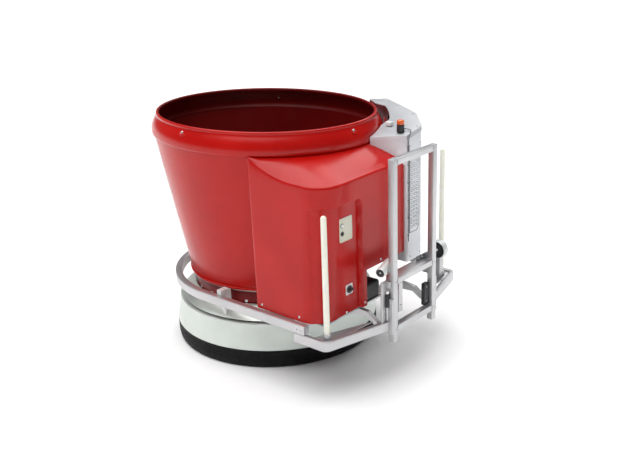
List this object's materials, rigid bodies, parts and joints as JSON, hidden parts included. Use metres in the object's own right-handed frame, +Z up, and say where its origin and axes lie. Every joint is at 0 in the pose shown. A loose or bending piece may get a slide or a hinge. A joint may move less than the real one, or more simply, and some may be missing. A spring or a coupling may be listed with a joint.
{
  "type": "feed mixing robot",
  "caption": "Self-driving feed mixing robot with an open red tub, a side discharge housing, a turning skirt and a bumper frame",
  "frame": {"origin": "on the floor, under the middle of the robot's overall length and width", "axes": "-Y is the way it drives and the bumper's ladder is at the -Y end, +X is the robot's left, where the discharge housing is, +Z is up"},
  "size_m": [1.708, 2.477, 1.8979],
  "materials": {
    "red_paint": "gloss",
    "silver_paint": "satin",
    "grey_paint": "satin",
    "skirt_paint": "satin",
    "black_rubber": "matt",
    "tyre_rubber": "matt",
    "black_plastic": "matt",
    "ivory_plastic": "gloss",
    "pale_plastic": "matt",
    "white_plastic": "matt",
    "orange_lens": "gloss",
    "bare_steel": "brushed",
    "motor_grey": "satin",
    "battery_case": "matt"
  },
  "bodies": {
    "chassis": {"chassis_deck": "silver_paint", "tub_pedestal": "red_paint", "tub_floor": "bare_steel", "tub_shell": "red_paint", "rim_band": "red_paint", "auger_gear_motor": "motor_grey", "left_drive_motor": "motor_grey", "right_drive_motor": "motor_grey", "skirt_drive_motor": "motor_grey", "left_hoop_guide": "grey_paint", "right_hoop_guide": "grey_paint", "front_support": "silver_paint", "front_cover": "red_paint", "control_fascia": "red_paint", "control_panel": "pale_plastic", "battery_pack": "battery_case", "control_box": "grey_paint", "discharge_housing": "grey_paint", "housing_lid": "grey_paint", "chute_back_panel": "red_paint", "vent_panel": "grey_paint", "door_frame": "bare_steel", "door_actuator": "motor_grey", "beacon_base": "black_plastic", "beacon_lens": "orange_lens", "beacon_cable": "black_plastic", "feed_height_sensor": "white_plastic"},
    "auger": {"auger": "bare_steel", "lower_auger_knife": "bare_steel", "upper_auger_knife": "bare_steel"},
    "skirt": {"skirt_ring": "skirt_paint", "skirt_lip": "black_rubber"},
    "skirt_drive_roller": {"skirt_drive_roller": "black_rubber"},
    "left_guide_roller": {"left_guide_roller": "black_rubber"},
    "right_guide_roller": {"right_guide_roller": "black_rubber"},
    "left_wheel": {"left_drive_hub": "bare_steel", "left_drive_tyre": "tyre_rubber"},
    "right_wheel": {"right_drive_hub": "bare_steel", "right_drive_tyre": "tyre_rubber"},
    "left_castor_fork": {"left_castor_fork": "bare_steel"},
    "left_castor_wheel": {"left_castor_wheel": "tyre_rubber"},
    "right_castor_fork": {"right_castor_fork": "bare_steel"},
    "right_castor_wheel": {"right_castor_wheel": "tyre_rubber"},
    "discharge_door": {"discharge_door": "bare_steel", "door_actuator_rod": "bare_steel"},
    "bumper": {"bumper_hoop": "silver_paint", "right_corner_bar": "silver_paint", "left_corner_bar": "silver_paint", "right_mast": "silver_paint", "left_mast": "silver_paint", "ladder_top_bar": "silver_paint", "ladder_upper_crossbar": "silver_paint", "ladder_lower_crossbar": "silver_paint", "right_marker_rod": "ivory_plastic", "left_marker_rod": "ivory_plastic", "right_distance_sensor": "silver_paint", "left_distance_sensor": "silver_paint"},
    "start_button": {"start_button": "white_plastic"},
    "stop_button": {"stop_button": "black_plastic"},
    "main_switch": {"main_switch": "black_plastic"}
  },
  "joints": [
    {"name": "auger_spin", "type": "hinge", "parent": "chassis", "child": "auger", "pos_m": [0, 0.2065, 0.62], "axis": [0, 0, 1], "continuous": true},
    {"name": "skirt_spin", "type": "hinge", "parent": "chassis", "child": "skirt", "pos_m": [0, 0.2065, 0.3], "axis": [0, 0, 1], "continuous": true},
    {"name": "skirt_drive_roller_spin", "type": "hinge", "parent": "chassis", "child": "skirt_drive_roller", "pos_m": [0, 0.9215, 0.328], "axis": [0, 0, 1], "continuous": true},
    {"name": "left_guide_roller_spin", "type": "hinge", "parent": "chassis", "child": "left_guide_roller", "pos_m": [0.61921, -0.151, 0.328], "axis": [0, 0, 1], "continuous": true},
    {"name": "right_guide_roller_spin", "type": "hinge", "parent": "chassis", "child": "right_guide_roller", "pos_m": [-0.61921, -0.151, 0.328], "axis": [0, 0, 1], "continuous": true},
    {"name": "left_wheel_spin", "type": "hinge", "parent": "chassis", "child": "left_wheel", "pos_m": [0.43, 0.4565, 0.17], "axis": [1, 0, 0], "continuous": true},
    {"name": "right_wheel_spin", "type": "hinge", "parent": "chassis", "child": "right_wheel", "pos_m": [-0.43, 0.4565, 0.17], "axis": [1, 0, 0], "continuous": true},
    {"name": "left_castor_swivel", "type": "hinge", "parent": "chassis", "child": "left_castor_fork", "pos_m": [0.33, -0.3135, 0.3], "axis": [0, 0, 1], "continuous": true},
    {"name": "left_castor_roll", "type": "hinge", "parent": "left_castor_fork", "child": "left_castor_wheel", "pos_m": [0.33, -0.2685, 0.1], "axis": [1, 0, 0], "continuous": true},
    {"name": "right_castor_swivel", "type": "hinge", "parent": "chassis", "child": "right_castor_fork", "pos_m": [-0.33, -0.3135, 0.3], "axis": [0, 0, 1], "continuous": true},
    {"name": "right_castor_roll", "type": "hinge", "parent": "right_castor_fork", "child": "right_castor_wheel", "pos_m": [-0.33, -0.2685, 0.1], "axis": [1, 0, 0], "continuous": true},
    {"name": "discharge_door_slide", "type": "slide", "parent": "chassis", "child": "discharge_door", "axis": [0.0701, -0.1871, 0.9798], "range_m": [0, 0.27]},
    {"name": "bumper_push", "type": "slide", "parent": "chassis", "child": "bumper", "axis": [0, 1, 0], "range_m": [0, 0.025], "stiffness_N_per_m": 4000},
    {"name": "start_button_press", "type": "slide", "parent": "chassis", "child": "start_button", "axis": [0, 1, 0], "range_m": [0, 0.005], "stiffness_N_per_m": 400},
    {"name": "stop_button_press", "type": "slide", "parent": "chassis", "child": "stop_button", "axis": [0, 1, 0], "range_m": [0, 0.005], "stiffness_N_per_m": 400},
    {"name": "main_switch_turn", "type": "hinge", "parent": "chassis", "child": "main_switch", "pos_m": [-0.45, -0.9605, 0.765], "axis": [0, -1, 0], "range_deg": [0, 90]}
  ],
  "couplings": [
    {"joint": "skirt_drive_roller_spin", "follows": "skirt_spin", "ratio": 15.34},
    {"joint": "left_guide_roller_spin", "follows": "skirt_spin", "ratio": 15.34},
    {"joint": "right_guide_roller_spin", "follows": "skirt_spin", "ratio": 15.34}
  ]
}
